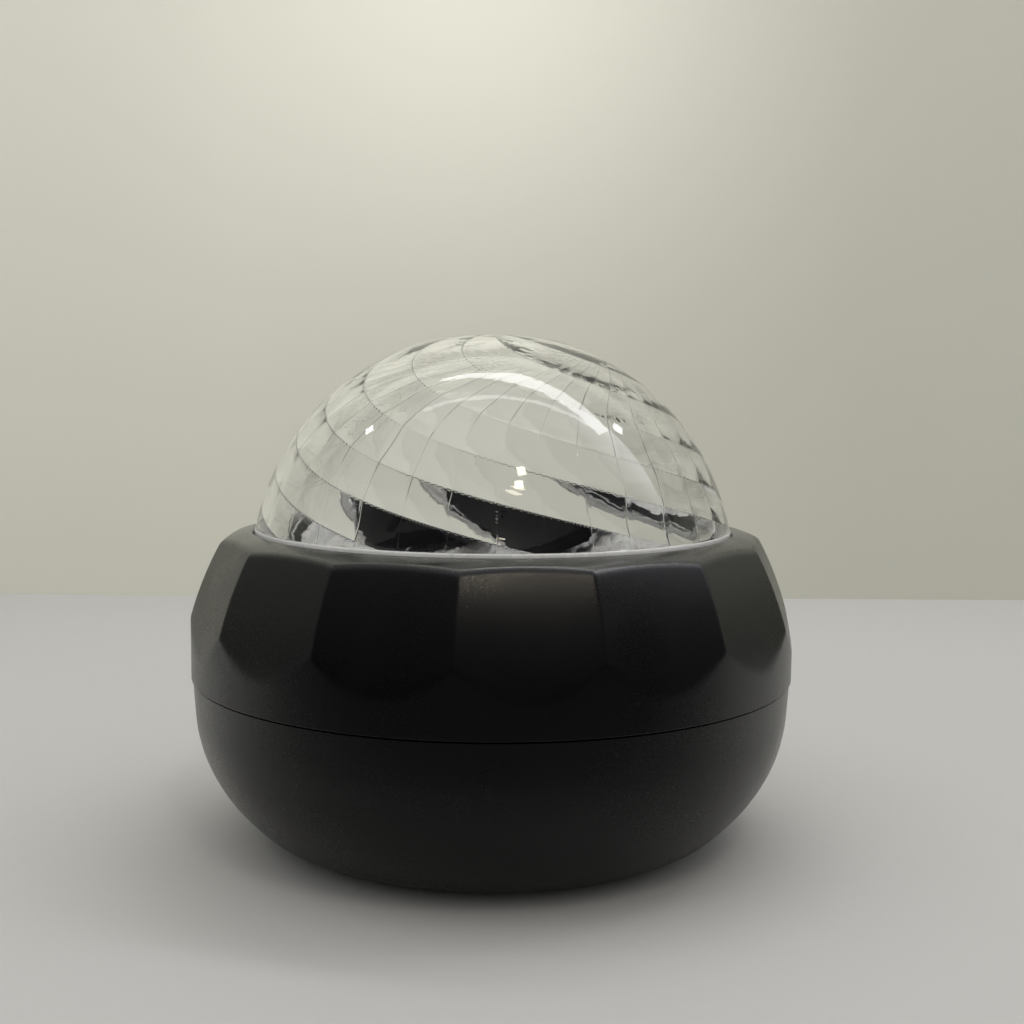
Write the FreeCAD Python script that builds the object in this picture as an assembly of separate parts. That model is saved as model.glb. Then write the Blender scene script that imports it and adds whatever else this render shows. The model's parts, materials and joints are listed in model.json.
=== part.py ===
import FreeCAD, Part
import math
import os

# Water-light projector lamp: a faceted black two-part housing on a bowl-shaped base, a thick clear dome,
# and under the dome a wave disc that turns slowly over a ring of lamps. Millimetres, +Z up, the origin is
# the middle of the footprint on the table, -Y is the front and +Y is the side with the inlet and the button.

V = FreeCAD.Vector
os.makedirs("parts", exist_ok=True)

# ---------------------------------------------------------------- driving dimensions
R_BODY = 55.0            # half of the greatest width
Z_SEAM = 30.8            # lower edge of the faceted shell
SEAM_GAP = 0.30          # shadow gap between the two shells
R_SEAM_LOW = 54.67       # bowl radius just under the seam
FACETS = 15              # flats round the upper shell
FACET_PHASE = -5.953     # degrees, the first ridge from the front, to the right
FACET_ARC = [(48.54, 55.00), (52.61, 45.65), (55.03, 36.03)]   # (distance from axis, z) of a flat, top to bottom
Z_BOTTOM = 0.8           # underside of the bowl; the feet carry it
R_FLAT = 33.0            # flat part of the underside
WALL = 2.2               # bowl wall
Z_FLOOR = 3.0            # inside floor of the bowl
R_LEDGE = 43.85          # recess that the dome stands in
Z_LEDGE = 55.5
R_WELL = 40.4            # opening above the deck
Z_DECK_TOP = 52.0
Z_DECK_LOW = 50.0
Z_RIM = 56.80            # top of the shell at the dome
CROWN = (0.10, 0.031)    # the shoulder falls away from the dome: first slope, then per mm squared
DOME_R = 43.6            # lip at the foot of the dome
DOME_LIP_Z = 57.3
DOME_TOP = 92.6
DOME_WALL = 4.0

# optics
DISC_R = 37.6
DISC_Z0, DISC_Z1 = 53.0, 55.2
SHADE_R = 23.0
SHADE_LOBE = (-15.5, -2.0, 14.0)   # x, y and radius of the wider part on the left
SHADE_Z0, SHADE_Z1 = 55.8, 57.0
SHADE_WINDOW_R = 2.2
LAMP_R = 19.25           # circle of the six lamps
LAMPS = 6
LED_BOARD_R0, LED_BOARD_R1 = 15.2, 23.0
LED_BOARD_Z0, LED_BOARD_Z1 = 47.4, 48.4

# drive
MODULE = 0.5
GEAR_TEETH, PINION_TEETH = 54, 16
CENTRES = MODULE * (GEAR_TEETH + PINION_TEETH) / 2.0      # 17.5
GEAR_Z0, GEAR_Z1 = 43.9, 46.9
PINION_Z0, PINION_Z1 = 43.5, 46.5
SPINDLE_R = 1.5
SHAFT_R = 1.5
RUN = 0.05               # radial running clearance
PLATE_Z0, PLATE_Z1 = 41.0, 42.6                           # drive chassis plate

# screws that hold the shells together, angle from +X
CASE_R = 28.0
CASE_ANGLES = (270.0, 30.0, 150.0)
POST_R = 31.0
POST_ANGLES = (90.0, 210.0, 330.0)

# circuit board, inlet and button
BOARD_Z0, BOARD_Z1 = 17.0, 18.6
PORT_Z = 20.2
BUTTON_ANGLE = -21.0     # degrees about Z from +Y (negative is towards +X)
BUTTON_R = 3.2
BUTTON_TRAVEL = 0.4


# ---------------------------------------------------------------- helpers
def cyl(r, z0, z1, x=0.0, y=0.0):
    return Part.makeCylinder(r, z1 - z0, V(x, y, z0), V(0, 0, 1))


def tube(r0, r1, z0, z1, x=0.0, y=0.0):
    return cyl(r1, z0, z1, x, y).cut(cyl(r0, z0 - 1, z1 + 1, x, y))


def box(x0, x1, y0, y1, z0, z1):
    return Part.makeBox(x1 - x0, y1 - y0, z1 - z0, V(x0, y0, z0))


def cone(r0, r1, z0, z1, x=0.0, y=0.0):
    return Part.makeCone(r0, r1, z1 - z0, V(x, y, z0), V(0, 0, 1))


def fuse(shapes):
    out = shapes[0]
    for s in shapes[1:]:
        out = out.fuse(s)
    return out.removeSplitter()


def spin(edges):
    face = Part.Face(Part.Wire(edges))
    return face.revolve(V(0, 0, 0), V(0, 0, 1), 360)


def line(a, b):
    return Part.LineSegment(V(a[0], 0, a[1]), V(b[0], 0, b[1])).toShape()


def turned(points):
    pts = list(points) + [points[0]]
    return spin([line(a, b) for a, b in zip(pts, pts[1:])])


def curve(points, start=None, end=None):
    c = Part.BSplineCurve()
    pts = [V(p[0], 0, p[1]) for p in points]
    if start is None:
        c.interpolate(pts)
    else:
        c.interpolate(Points=pts, InitialTangent=V(start[0], 0, start[1]), FinalTangent=V(end[0], 0, end[1]))
    return c


def at(angle, radius):
    a = math.radians(angle)
    return radius * math.cos(a), radius * math.sin(a)


def turn_z(shape, angle):
    s = shape.copy()
    s.rotate(V(0, 0, 0), V(0, 0, 1), angle)
    return s


def offset_points(c, distance, n, sign):
    first, last = c.FirstParameter, c.LastParameter
    out = []
    for i in range(n + 1):
        t = first + (last - first) * i / n
        p, d = c.value(t), c.tangent(t)[0]
        normal = V(-d.z, 0, d.x) * sign
        out.append((p.x + normal.x * distance, p.z + normal.z * distance))
    return out


def save(name, shape):
    shape.exportStep("parts/%s.step" % name)
    print(name, "solids", len(shape.Solids), "valid", shape.isValid(), "mm3", round(shape.Volume, 1))


def group(shapes):
    return Part.makeCompound(shapes)


# ---------------------------------------------------------------- lower shell
bowl = [
    (R_SEAM_LOW, Z_SEAM - SEAM_GAP), (54.52, 28.05), (54.34, 25.3), (54.08, 22.55), (53.55, 19.8), (52.72, 17.05),
    (51.52, 14.3), (49.97, 11.55), (48.0, 8.8), (45.5, 6.05), (42.3, 3.3), (40.15, 2.15), (37.4, 1.25), (R_FLAT, Z_BOTTOM),
]
bowl_curve = curve(bowl, (-0.05, -1.0), (-1.0, 0.0))
bowl_edge = bowl_curve.toShape()
outer_bowl = spin([
    bowl_edge,
    line((R_FLAT, Z_BOTTOM), (0, Z_BOTTOM)),
    line((0, Z_BOTTOM), (0, Z_SEAM - SEAM_GAP)),
    line((0, Z_SEAM - SEAM_GAP), (R_SEAM_LOW, Z_SEAM - SEAM_GAP)),
])
inner_pts = [p for p in offset_points(bowl_curve, WALL, 40, -1) if Z_FLOOR + 0.25 < p[1] < 26.0]
if not inner_pts or inner_pts[0][0] > 54.0:
    inner_pts = [p for p in offset_points(bowl_curve, WALL, 40, 1) if Z_FLOOR + 0.25 < p[1] < 26.0]
inner_top = (inner_pts[0][0], 26.0)
inner_curve = curve([inner_top] + inner_pts)
last = inner_pts[-1]
bowl_cavity = spin([
    inner_curve.toShape(),
    line(last, (last[0] - 2.0, Z_FLOOR)),
    line((last[0] - 2.0, Z_FLOOR), (0, Z_FLOOR)),
    line((0, Z_FLOOR), (0, 32.0)),
    line((0, 32.0), (50.0, 32.0)),
    line((50.0, 32.0), (50.0, 28.0)),
    line((50.0, 28.0), inner_top),
])
lower = outer_bowl.cut(bowl_cavity)
# the tongue that centres the upper shell, with a lead-in
tongue = turned([(50.0, 28.0), (51.0, 28.0), (51.0, 33.2), (50.6, 33.8), (50.0, 33.8)])
lower = lower.fuse(tongue)

# three screw towers with deep head recesses
for a in CASE_ANGLES:
    x, y = at(a, CASE_R)
    lower = lower.fuse(cyl(4.2, Z_FLOOR - 0.5, 28.0, x, y))
for a in CASE_ANGLES:
    x, y = at(a, CASE_R)
    lower = lower.cut(cyl(2.9, Z_BOTTOM - 1, 10.0, x, y))
    lower = lower.cut(cyl(1.65, 9.0, 29.0, x, y))

# four posts for the circuit board
board_posts = [(-14.5, 13.0), (14.5, 13.0), (-14.5, 36.0), (14.5, 36.0)]
for x, y in board_posts:
    lower = lower.fuse(cyl(2.4, Z_FLOOR - 0.6, BOARD_Z0, x, y))
    lower = lower.cut(cyl(0.95, BOARD_Z0 - 7.0, BOARD_Z0 + 1, x, y))

# recesses for the feet
feet_xy = [(17.0, 17.0), (-17.0, 17.0), (-17.0, -17.0), (17.0, -17.0)]
for x, y in feet_xy:
    lower = lower.cut(cyl(4.15, Z_BOTTOM - 1, 1.5, x, y))

# a ring of cooling slots in the underside
for i in range(12):
    slot = box(5.0, 11.0, -0.8, 0.8, Z_BOTTOM - 1, Z_FLOOR + 1)
    slot = slot.fuse(cyl(0.8, Z_BOTTOM - 1, Z_FLOOR + 1, 5.0, 0)).fuse(cyl(0.8, Z_BOTTOM - 1, Z_FLOOR + 1, 11.0, 0))
    lower = lower.cut(turn_z(slot, i * 30.0 + 15.0))

# inlet opening: a rounded slot with a shallow finger dish round it
def pill(w, h, y0, y1):
    """A flat-sided rounded bar along Y, centred on the inlet."""
    r, c = h / 2.0, w / 2.0 - h / 2.0
    z0, z1 = PORT_Z - r, PORT_Z + r
    edges = [
        Part.LineSegment(V(-c, y0, z0), V(c, y0, z0)).toShape(),
        Part.Arc(V(c, y0, z0), V(c + r, y0, PORT_Z), V(c, y0, z1)).toShape(),
        Part.LineSegment(V(c, y0, z1), V(-c, y0, z1)).toShape(),
        Part.Arc(V(-c, y0, z1), V(-c - r, y0, PORT_Z), V(-c, y0, z0)).toShape()]
    return Part.Face(Part.Wire(edges)).extrude(V(0, y1 - y0, 0))


lower = lower.cut(pill(9.4, 3.64, 46.0, 58.0))
lower = lower.cut(pill(14.4, 5.8, 53.05, 58.0))

# button hole, radial
button_hole = Part.makeCylinder(BUTTON_R + 0.15, 12.0, V(0, 46.0, PORT_Z), V(0, 1, 0))
lower = lower.cut(turn_z(button_hole, BUTTON_ANGLE))
lower = lower.removeSplitter()
save("lower_shell", lower)

# ---------------------------------------------------------------- feet and case screws
save("foot_pads", group([
    cyl(3.95, 0.35, 1.5, x, y).fuse(cone(3.5, 3.95, 0.0, 0.35, x, y)).removeSplitter() for x, y in feet_xy]))


def pan_screw(head_r, head_h, r, length, tip=True):
    """A screw along +Z with its head below z = 0 and its cross recess in the head."""
    head = cyl(head_r, -head_h, 0)
    cross = box(-head_r * 0.62, head_r * 0.62, -head_r * 0.14, head_r * 0.14, -head_h - 0.1, -head_h * 0.45)
    head = head.cut(cross).cut(turn_z(cross, 90))
    shank = cyl(r, -0.05, length - r)
    out = head.fuse(shank)
    if tip:
        out = out.fuse(cone(r, r * 0.3, length - r, length))
    return out.removeSplitter()


def placed(shape, x, y, z, down=False):
    s = shape.copy()
    if down:
        s.rotate(V(0, 0, 0), V(1, 0, 0), 180)
    s.translate(V(x, y, z))
    return s


case_screw = pan_screw(2.6, 1.9, 1.45, 20.0)
save("case_screws", group([placed(case_screw, *at(a, CASE_R), 10.0) for a in CASE_ANGLES]))

# ---------------------------------------------------------------- upper shell
arc = Part.Arc(*[V(p[0], 0, p[1]) for p in FACET_ARC])
circle = arc.toShape().Curve
centre, radius = circle.Center, circle.Radius


def facet_d(z):
    return centre.x + math.sqrt(radius ** 2 - (z - centre.z) ** 2)


def shoulder_z(r):
    return Z_RIM - CROWN[0] * (r - R_LEDGE) - CROWN[1] * (r - R_LEDGE) ** 2


# body of revolution, a little larger than the flats, with a crowned shoulder
crown = [(r, shoulder_z(r)) for r in (52.5, 48.3, R_LEDGE + 0.35)]
under = [
    (R_LEDGE + 0.35, crown[2][1]), (R_LEDGE, Z_RIM - 0.35), (R_LEDGE, Z_LEDGE), (R_WELL, Z_LEDGE), (R_WELL, Z_DECK_TOP),
    (0, Z_DECK_TOP), (0, Z_DECK_LOW), (46.2, Z_DECK_LOW), (49.3, 45.0), (51.4, 39.0), (51.4, Z_SEAM), (R_BODY, Z_SEAM),
    (R_BODY, 52.0), crown[0]]
upper = spin([Part.Arc(*[V(p[0], 0, p[1]) for p in crown]).toShape()] + [line(a, b) for a, b in zip(under, under[1:])])
# the flats: cylinders with a level axis, cut one by one
z_top, z_low = 60.0, 33.0
cut_arc = Part.Arc(
    V(facet_d(z_low), 0, z_low), V(facet_d((z_low + z_top) / 2), 0, (z_low + z_top) / 2), V(facet_d(z_top), 0, z_top))
cut_face = Part.Face(Part.Wire([
    cut_arc.toShape(), line((facet_d(z_top), z_top), (70.0, z_top)), line((70.0, z_top), (70.0, z_low)),
    line((70.0, z_low), (facet_d(z_low), z_low))]))
cut_face.translate(V(0, -30, 0))
cutter = cut_face.extrude(V(0, 60, 0))
for k in range(FACETS):
    # a flat lies between two ridges; the angle is counted from the front (-Y) towards +X
    mid = FACET_PHASE + (k + 0.5) * 360.0 / FACETS
    upper = upper.cut(turn_z(cutter, mid - 90.0))

# soften the edge between the shoulder and the flats
def soften(shape, pick, r):
    edges = [e for e in shape.Edges if pick(e)]
    if not edges:
        print("no edges to soften")
        return shape
    try:
        out = shape.makeFillet(r, edges)
        if out.isValid() and len(out.Solids) == 1:
            return out.Solids[0]
        print("softening gave a bad solid")
    except Exception as error:
        print("softening refused:", error)
    return shape


def is_top_edge(e):
    pts = [e.valueAt(e.FirstParameter + (e.LastParameter - e.FirstParameter) * t) for t in (0.0, 0.5, 1.0)]
    radii = [math.hypot(p.x, p.y) for p in pts]
    return min(radii) > 46.5 and max(radii) < 50.5 and min(p.z for p in pts) > 53.5


before = upper.Volume
upper = soften(upper, is_top_edge, 0.9)
print("top edge softened", round(before - upper.Volume, 3))

# well, hub hole and lamp windows in the deck
upper = upper.cut(cyl(5.2, Z_DECK_LOW - 1, Z_DECK_TOP + 1))
lamp_xy = [at(i * 360.0 / LAMPS + 30.0, LAMP_R) for i in range(LAMPS)]
for x, y in lamp_xy:
    upper = upper.cut(cyl(3.4, Z_DECK_LOW - 1, Z_DECK_TOP + 1, x, y))
    upper = upper.cut(cone(3.4, 4.2, Z_DECK_TOP - 0.8, Z_DECK_TOP + 0.001, x, y))

# screw towers and posts that hang from the deck
for a in CASE_ANGLES:
    x, y = at(a, CASE_R)
    upper = upper.fuse(cyl(4.2, 28.0, Z_DECK_LOW + 0.5, x, y))
for a in CASE_ANGLES:
    x, y = at(a, CASE_R)
    upper = upper.cut(cyl(1.45, 27.0, 44.0, x, y))
for a in POST_ANGLES:
    x, y = at(a, POST_R)
    upper = upper.fuse(cyl(2.6, PLATE_Z1, Z_DECK_LOW + 0.5, x, y))
    upper = upper.cut(cyl(1.0, PLATE_Z1 - 1, PLATE_Z1 + 6.0, x, y))
# three short studs that the lamp board is screwed to
stud_xy = [at(a, LAMP_R) for a in (0.0, 120.0, 240.0)]
for x, y in stud_xy:
    upper = upper.fuse(cyl(2.0, LED_BOARD_Z1, Z_DECK_LOW + 0.5, x, y))
    upper = upper.cut(cyl(0.75, LED_BOARD_Z1 - 1, Z_DECK_TOP - 0.8, x, y))
# three holes for the pegs of the dome
peg_xy = [at(a, 42.1) for a in (90.0, 210.0, 330.0)]
for x, y in peg_xy:
    upper = upper.cut(cyl(0.95, 52.8, Z_LEDGE + 1, x, y))
upper = upper.removeSplitter()
save("upper_shell", upper)

# ---------------------------------------------------------------- dome
dome_pts = [
    (43.40, 57.4), (42.95, 59.4), (42.32, 61.6), (41.57, 63.8), (40.70, 66.0), (39.69, 68.2), (38.53, 70.4), (37.20, 72.6),
    (35.69, 74.8), (33.97, 77.0), (32.00, 79.2), (29.74, 81.4), (27.12, 83.6), (24.00, 85.8), (20.19, 88.0), (15.13, 90.2),
    (10.40, 91.55), (5.50, 92.32), (0.0, DOME_TOP)]
dome_curve = curve(dome_pts, (-0.2, 1.0), (-1.0, 0.0))
dome_foot = Z_LEDGE
# the foot ends in a small lip that stands just proud of the shoulder
dome_outer = spin([
    dome_curve.toShape(), line((0, DOME_TOP), (0, dome_foot)), line((0, dome_foot), (DOME_R - 0.2, dome_foot)),
    line((DOME_R - 0.2, dome_foot), (DOME_R, dome_foot + 0.2)), line((DOME_R, dome_foot + 0.2), (DOME_R, DOME_LIP_Z - 0.15)),
    line((DOME_R, DOME_LIP_Z - 0.15), dome_pts[0])])
inside = [p for p in offset_points(dome_curve, DOME_WALL, 30, 1)]
if inside[0][0] > DOME_R - 1.0:
    inside = [p for p in offset_points(dome_curve, DOME_WALL, 30, -1)]
inside[-1] = (0.0, DOME_TOP - DOME_WALL)
inside_curve = curve(inside, (-0.2, 1.0), (-1.0, 0.0))
dome_inner = spin([
    inside_curve.toShape(), line(inside[-1], (0, dome_foot - 1)), line((0, dome_foot - 1), (inside[0][0], dome_foot - 1)),
    line((inside[0][0], dome_foot - 1), inside[0])])
dome = dome_outer.cut(dome_inner)
for x, y in peg_xy:
    dome = dome.fuse(cyl(0.9, 53.2, dome_foot + 0.5, x, y))
save("dome_lens", dome.removeSplitter())

# ---------------------------------------------------------------- wave disc and its rotor
disc = tube(4.05, DISC_R, DISC_Z0, DISC_Z1)
# shallow concentric waves on the upper face
for r in (9.5, 14.5, 19.5, 24.5, 29.5, 34.0):
    disc = disc.cut(Part.makeTorus(r, 1.6, V(0, 0, DISC_Z1 + 1.25), V(0, 0, 1)))
save("wave_disc", disc)

hub = tube(3.0, 4.4, GEAR_Z0, 52.3)
hub = hub.fuse(tube(3.0, 8.5, 52.3, DISC_Z0))
hub = hub.fuse(tube(3.0, 4.0, DISC_Z0, DISC_Z1 - 0.1))
hub = hub.cut(tube(4.1, 6.0, GEAR_Z0 - 1, GEAR_Z1))
save("rotor_hub", hub.removeSplitter())

bush = tube(SPINDLE_R + RUN, 3.0, GEAR_Z0, 52.0)
save("hub_bush", bush)

# the black plate over the disc, fixed to the end of the spindle, with a window over each lamp; it is wider on the left
shade = cyl(SHADE_R, SHADE_Z0, SHADE_Z1).fuse(cyl(SHADE_LOBE[2], SHADE_Z0, SHADE_Z1, SHADE_LOBE[0], SHADE_LOBE[1]))
shade = shade.removeSplitter().fuse(cyl(2.6, 54.2, SHADE_Z0 + 0.5))
shade = shade.cut(cyl(SPINDLE_R, 53.0, SHADE_Z0)).cut(cyl(0.9, SHADE_Z0 - 1, SHADE_Z1 + 1))
shade = shade.cut(cyl(1.9, SHADE_Z1 - 0.6, SHADE_Z1 + 1))
for i in range(LAMPS):
    x, y = at(i * 360.0 / LAMPS + 30.0, LAMP_R)
    shade = shade.cut(cyl(SHADE_WINDOW_R, SHADE_Z0 - 1, SHADE_Z1 + 1, x, y))
    shade = shade.cut(cone(SHADE_WINDOW_R, SHADE_WINDOW_R + 0.5, SHADE_Z1 - 0.5, SHADE_Z1 + 0.001, x, y))
shade = soften(shade.removeSplitter(), lambda e: min(v.Point.z for v in e.Vertexes) > SHADE_Z1 - 0.01 and max(
    math.hypot(v.Point.x, v.Point.y) for v in e.Vertexes) > SHADE_R - 0.1, 0.35)
save("shade_plate", shade)
plate_screw = pan_screw(1.6, 0.55, 0.7, 5.0, False)
save("shade_screw", placed(plate_screw, 0, 0, SHADE_Z1 - 0.6, True))


def gear(teeth, module, z0, z1, bore, phase, thinning):
    """Involute spur gear; phase is the angle of the middle of one tooth, in degrees."""
    pressure = math.radians(20.0)
    rp = module * teeth / 2.0
    rb = rp * math.cos(pressure)
    ra = rp + module
    rf = rp - 1.25 * module
    inv = math.tan(pressure) - pressure
    half = math.pi / 2.0 / teeth - thinning / (2.0 * rp) + inv     # half tooth angle at the base circle
    pts = []
    radii = [max(rb, rf) + (ra - max(rb, rf)) * i / 5.0 for i in range(6)]
    for k in range(teeth):
        mid = math.radians(phase) + 2.0 * math.pi * k / teeth
        left, right = [], []
        for r in radii:
            t = math.sqrt(max((r / rb) ** 2 - 1.0, 0.0))
            a = half - (t - math.atan(t))
            left.append((r, mid - a))
            right.append((r, mid + a))
        if rf < rb:
            left.insert(0, (rf, left[0][1]))
            right.insert(0, (rf, right[0][1]))
        pts += left + right[::-1]
    vs = [V(r * math.cos(a), r * math.sin(a), z0) for r, a in pts]
    face = Part.Face(Part.makePolygon(vs + [vs[0]]))
    solid = face.extrude(V(0, 0, z1 - z0))
    return solid.cut(cyl(bore, z0 - 1, z1 + 1))


drive = gear(GEAR_TEETH, MODULE, GEAR_Z0, GEAR_Z1, 4.1, -90.0, 0.07)
# a thinner web between the rim and the boss, with six lightening holes
drive = drive.cut(tube(6.6, 11.2, GEAR_Z0 - 1, GEAR_Z0 + 0.8)).cut(tube(6.6, 11.2, GEAR_Z1 - 0.8, GEAR_Z1 + 1))
for i in range(6):
    x, y = at(i * 60.0, 8.9)
    drive = drive.cut(cyl(1.5, GEAR_Z0 - 1, GEAR_Z1 + 1, x, y))
save("drive_gear", drive)

pinion = gear(PINION_TEETH, MODULE, PINION_Z0, PINION_Z1, SHAFT_R, 90.0 + 180.0 / PINION_TEETH, 0.07)
pinion.translate(V(0, -CENTRES, 0))
save("motor_pinion", pinion)

# ---------------------------------------------------------------- drive chassis, spindle, washer, clip
plate = cyl(22.6, PLATE_Z0, PLATE_Z1)
for a in POST_ANGLES:
    arm = box(0, POST_R, -4.0, 4.0, PLATE_Z0, PLATE_Z1).fuse(cyl(4.0, PLATE_Z0, PLATE_Z1, POST_R, 0))
    plate = plate.fuse(turn_z(arm, a))
plate = plate.fuse(cyl(4.0, 38.4, 43.2))
plate = plate.cut(cyl(SPINDLE_R, 37.0, 44.0))
for a in POST_ANGLES:
    plate = plate.cut(cyl(1.15, PLATE_Z0 - 1, PLATE_Z1 + 1, *at(a, POST_R)))
plate = plate.cut(cyl(2.4, PLATE_Z0 - 1, PLATE_Z1 + 1, 0, -CENTRES))
motor_screw_xy = [(-4.5, -CENTRES), (4.5, -CENTRES)]
for x, y in motor_screw_xy:
    plate = plate.cut(cyl(0.9, PLATE_Z0 - 1, PLATE_Z1 + 1, x, y))
    plate = plate.cut(cyl(1.7, PLATE_Z1 - 0.7, PLATE_Z1 + 1, x, y))
for i in (0, 2, 3, 5):
    x, y = at(i * 60.0 + 0.0, 14.5)
    plate = plate.cut(cyl(3.0, PLATE_Z0 - 1, PLATE_Z1 + 1, x, y))
save("drive_chassis", plate.removeSplitter())

spindle = cyl(SPINDLE_R, 38.4, SHADE_Z0).cut(tube(1.1, 3.0, 52.5, 53.0)).cut(cyl(0.7, SHADE_Z0 - 5.0, SHADE_Z0 + 1))
spindle = spindle.removeSplitter()
save("spindle", spindle)
save("thrust_washer", tube(SPINDLE_R, 3.4, 43.2, 43.8))
clip = tube(1.1, 2.6, 52.53, 52.97).cut(box(-1.0, 1.0, 0.0, 4.0, 52.0, 54.0))
save("spindle_clip", clip)

chassis_screw = pan_screw(2.0, 1.3, 1.0, 6.6)
save("chassis_screws", group([placed(chassis_screw, *at(a, POST_R), PLATE_Z0) for a in POST_ANGLES]))

# ---------------------------------------------------------------- gear motor
MX, MY = 0.0, -CENTRES
gearbox = box(MX - 6.0, MX + 6.0, MY - 5.0, MY + 5.0, 32.0, PLATE_Z0)
gearbox = gearbox.cut(cyl(SHAFT_R + RUN, 36.0, PLATE_Z0 + 1, MX, MY))
for x, y in motor_screw_xy:
    gearbox = gearbox.cut(cyl(0.75, 37.5, PLATE_Z0 + 1, x, y))
# two brass-plate grooves round the box
for z in (34.4, 37.6):
    groove = box(MX - 7.0, MX + 7.0, MY - 6.0, MY + 6.0, z, z + 0.35).cut(
        box(MX - 5.7, MX + 5.7, MY - 4.7, MY + 4.7, z - 1, z + 1))
    gearbox = gearbox.cut(groove)
save("motor_gearbox", gearbox)
can = cyl(6.0, 19.0, 32.0, MX, MY).common(box(MX - 6.0, MX + 6.0, MY - 5.0, MY + 5.0, 18.0, 33.0))
save("motor_can", can)
end = cyl(5.9, 17.4, 19.0, MX, MY).common(box(MX - 5.9, MX + 5.9, MY - 4.9, MY + 4.9, 17.0, 20.0))
save("motor_end_cap", end.fuse(cyl(2.0, 16.8, 17.5, MX, MY)).removeSplitter())
save("motor_terminals", group([
    box(MX + s * 3.6 - 0.9, MX + s * 3.6 + 0.9, MY - 0.15, MY + 0.15, 15.4, 17.4) for s in (-1, 1)]))
shaft = cyl(SHAFT_R, 36.2, 46.9, MX, MY)
save("motor_shaft", shaft)
motor_screw = pan_screw(1.5, 0.6, 0.7, 4.4)
save("motor_screws", group([placed(motor_screw, x, y, PLATE_Z1 - 0.7, True) for x, y in motor_screw_xy]))

# ---------------------------------------------------------------- lamp board, lamps and collimators
led_board = tube(LED_BOARD_R0, LED_BOARD_R1, LED_BOARD_Z0, LED_BOARD_Z1)
for x, y in stud_xy:
    led_board = led_board.cut(cyl(0.9, LED_BOARD_Z0 - 1, LED_BOARD_Z1 + 1, x, y))
save("led_board", led_board)
leds = []
for i, (x, y) in enumerate(lamp_xy):
    b = box(-2.5, 2.5, -2.5, 2.5, LED_BOARD_Z1, LED_BOARD_Z1 + 0.9).fuse(cyl(2.0, LED_BOARD_Z1 + 0.9, LED_BOARD_Z1 + 1.3))
    b = turn_z(b.removeSplitter(), i * 60.0 + 30.0)
    b.translate(V(x, y, 0))
    leds.append(b)
save("led_lamps", group(leds))
lenses = []
for x, y in lamp_xy:
    lens = cyl(3.2, 49.8, 50.6, x, y)
    ball = Part.makeSphere(3.6, V(x, y, 50.6 - 1.6))
    lens = lens.fuse(ball.common(box(x - 4, x + 4, y - 4, y + 4, 50.6, 60)).common(cyl(3.2, 50, 60, x, y)))
    lenses.append(lens.removeSplitter())
save("lamp_lenses", group(lenses))
led_screw = pan_screw(1.5, 0.8, 0.72, 3.4)
save("led_board_screws", group([placed(led_screw, x, y, LED_BOARD_Z0) for x, y in stud_xy]))

# ---------------------------------------------------------------- circuit board and what it carries
board = box(-19.0, 19.0, 8.0, 52.0, BOARD_Z0, BOARD_Z1).common(cyl(49.8, BOARD_Z0 - 1, BOARD_Z1 + 1))
for x, y in board_posts:
    board = board.cut(cyl(1.15, BOARD_Z0 - 1, BOARD_Z1 + 1, x, y))
save("main_board", board)
board_screw = pan_screw(1.9, 1.2, 0.92, 6.0)
save("board_screws", group([placed(board_screw, x, y, BOARD_Z1, True) for x, y in board_posts]))

chip = box(-2.5, 2.5, 21.0, 26.0, BOARD_Z1, BOARD_Z1 + 1.5)
driver = box(5.0, 9.0, 20.0, 25.0, BOARD_Z1, BOARD_Z1 + 1.4)
choke = box(6.0, 11.0, 27.5, 32.5, BOARD_Z1, BOARD_Z1 + 2.8)
can1 = cyl(3.15, BOARD_Z1, BOARD_Z1 + 7.0, -7.5, 33.0)
can2 = cyl(2.5, BOARD_Z1, BOARD_Z1 + 5.4, -7.0, 41.5)
resistors = [box(x, x + 1.6, y, y + 0.8, BOARD_Z1, BOARD_Z1 + 0.45) for x, y in (
    (-10.0, 22.0), (-10.0, 24.0), (-10.0, 26.0), (11.0, 21.0), (11.0, 23.0), (-1.0, 30.0), (-1.0, 32.0), (2.0, 34.0))]
save("board_components", group([chip, driver, choke, can1, can2] + resistors))

# inlet: drawn steel shell and its tongue
inlet = pill(8.94, 3.2, 45.4, 52.9).cut(pill(8.34, 2.6, 46.4, 53.9))
save("inlet_shell", inlet)
save("inlet_tongue", box(-3.35, 3.35, 46.4, 52.0, PORT_Z - 0.35, PORT_Z + 0.35).fuse(
    pill(8.2, 2.5, 46.4, 47.4)).removeSplitter())

# button: cap with a retaining flange, and the small switch behind it
button = Part.makeCylinder(BUTTON_R, 4.1, V(0, 50.45, PORT_Z), V(0, 1, 0))
button = soften(button, lambda e: min(v.Point.y for v in e.Vertexes) > 54.5, 0.5)
flange = Part.makeCylinder(BUTTON_R + 1.0, 0.6, V(0, 49.9, PORT_Z), V(0, 1, 0))
flange = flange.common(box(-5, 5, 40, 60, BOARD_Z1 + 0.35, PORT_Z + 5))
button = button.fuse(flange).removeSplitter()
save("power_button", turn_z(button, BUTTON_ANGLE))
plunger = Part.makeCylinder(1.2, 2.35, V(0, 47.55, PORT_Z), V(0, 1, 0))
save("switch_plunger", turn_z(plunger, BUTTON_ANGLE))
switch = box(-3.0, 3.0, 44.6, 48.4, BOARD_Z1, PORT_Z + 2.0)
switch = switch.cut(Part.makeCylinder(1.2 + RUN, 2.0, V(0, 46.9, PORT_Z), V(0, 1, 0)))
save("tact_switch", turn_z(switch, BUTTON_ANGLE))

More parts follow.
